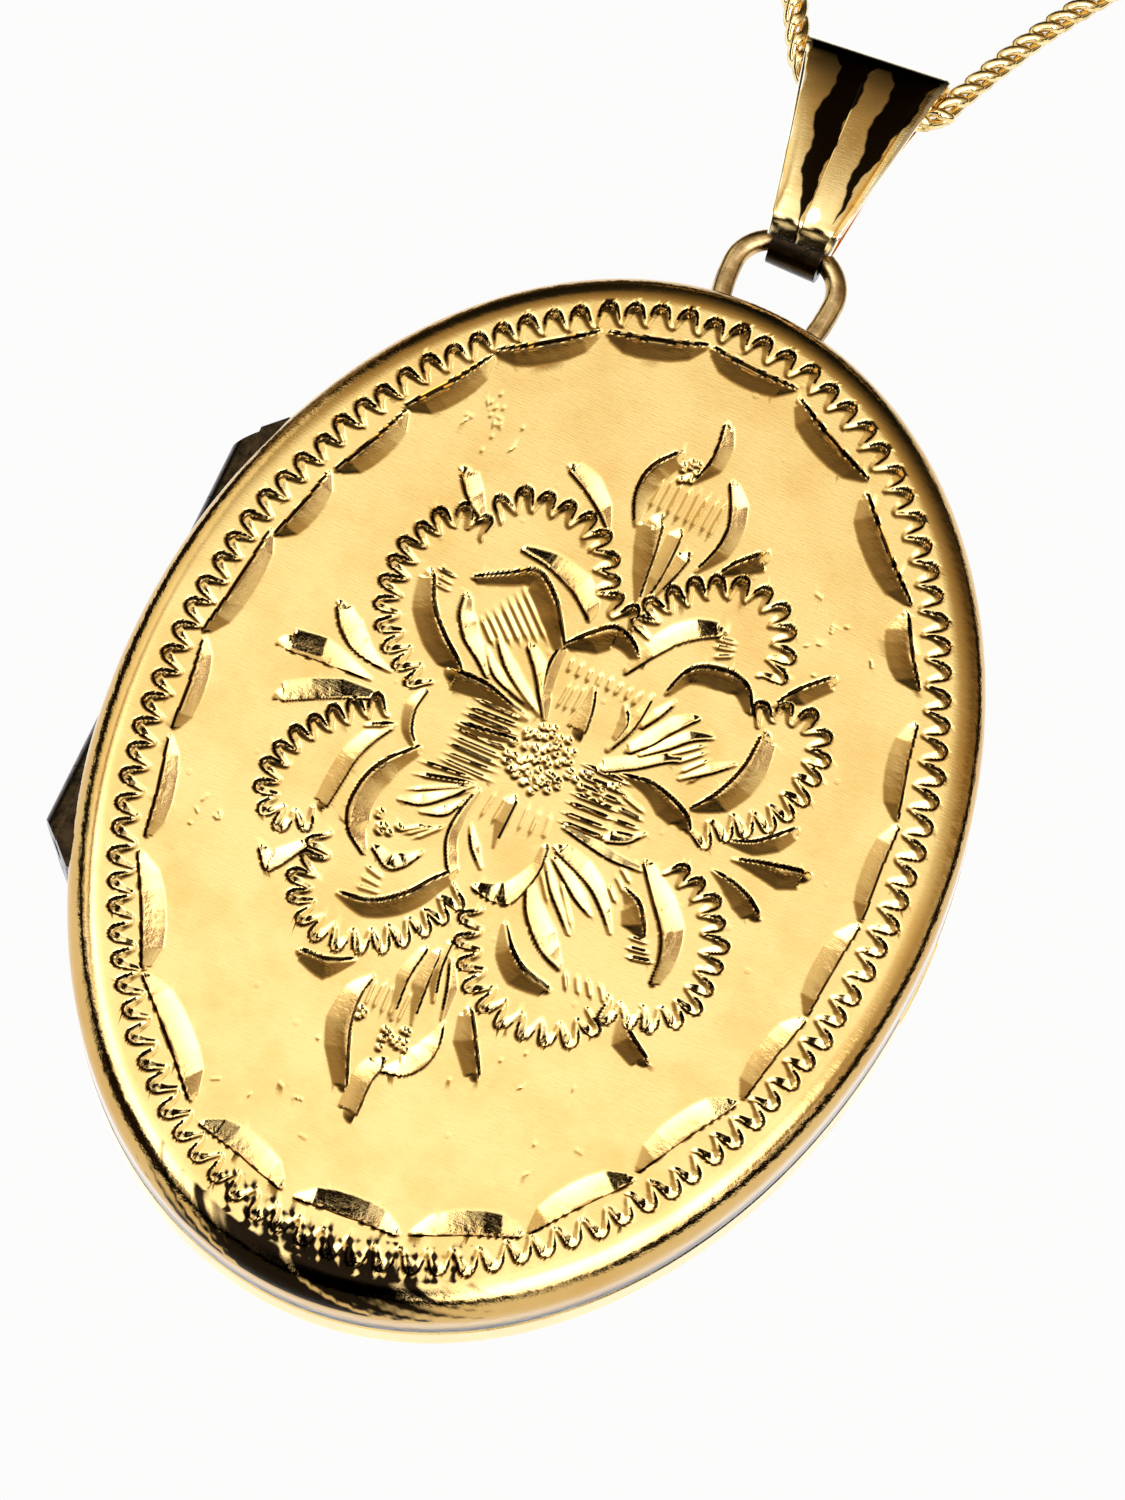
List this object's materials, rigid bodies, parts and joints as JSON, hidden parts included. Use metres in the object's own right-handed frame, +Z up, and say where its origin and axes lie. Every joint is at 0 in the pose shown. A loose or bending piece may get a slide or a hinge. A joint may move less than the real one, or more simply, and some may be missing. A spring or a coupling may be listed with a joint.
{
  "type": "locket",
  "caption": "Oval hinged locket with an engraved floral front, photo frames inside, and a tapered bail on a fine chain with a bolt-ring clasp.",
  "frame": {"origin": "middle of the chain inside the bail, where the pendant hangs", "axes": "+Z up along the locket's long axis, -Y out of the engraved front, hinge on the -X side"},
  "size_m": [0.0304, 0.0049, 0.0679],
  "materials": {
    "gold": "polished, worn",
    "polished_gold": "mirror polished",
    "chain_gold": "polished",
    "steel": "drawn wire",
    "window": "clear sheet",
    "card": "matt card"
  },
  "bodies": {
    "chain": {"chain": "chain_gold", "clasp_link": "chain_gold", "clasp_eye": "chain_gold", "clasp_body": "chain_gold", "clasp_spring": "steel", "end_link": "chain_gold", "end_tag": "chain_gold"},
    "bolt": {"clasp_bolt": "chain_gold"},
    "bail": {"bail": "polished_gold", "bail_foot": "polished_gold"},
    "locket": {"back_cover": "gold", "closing_flange": "gold", "back_hinge_bearer": "gold", "back_knuckle_lower": "gold", "back_knuckle_middle": "gold", "back_knuckle_upper": "gold", "hinge_pin": "steel", "hanging_loop": "polished_gold", "back_photo_frame": "gold", "back_window": "window", "back_photo_card": "card"},
    "cover": {"front_cover": "gold", "front_hinge_bearer": "gold", "front_knuckle_lower": "gold", "front_knuckle_upper": "gold", "front_photo_frame": "gold", "front_window": "window", "front_photo_card": "card"}
  },
  "joints": [
    {"name": "bail_swing", "type": "hinge", "parent": "chain", "child": "bail", "pos_m": [0, 0, 0], "axis": [1, 0, 0], "range_deg": [-75, 75]},
    {"name": "locket_swing", "type": "hinge", "parent": "bail", "child": "locket", "pos_m": [0, 0, -0.0063], "axis": [1, 0, 0], "range_deg": [-80, 80]},
    {"name": "cover_hinge", "type": "hinge", "parent": "locket", "child": "cover", "pos_m": [-0.01435, -0.00042, -0.0295], "axis": [0, 0, -1], "range_deg": [0, 100]},
    {"name": "clasp_bolt", "type": "hinge", "parent": "chain", "child": "bolt", "pos_m": [-0.01093, 0, 0.01564], "axis": [0, 1, 0], "range_deg": [0, 54], "stiffness_Nm_per_rad": 0.000002, "springref_deg": -28.65, "deforming": ["clasp_spring"]}
  ]
}
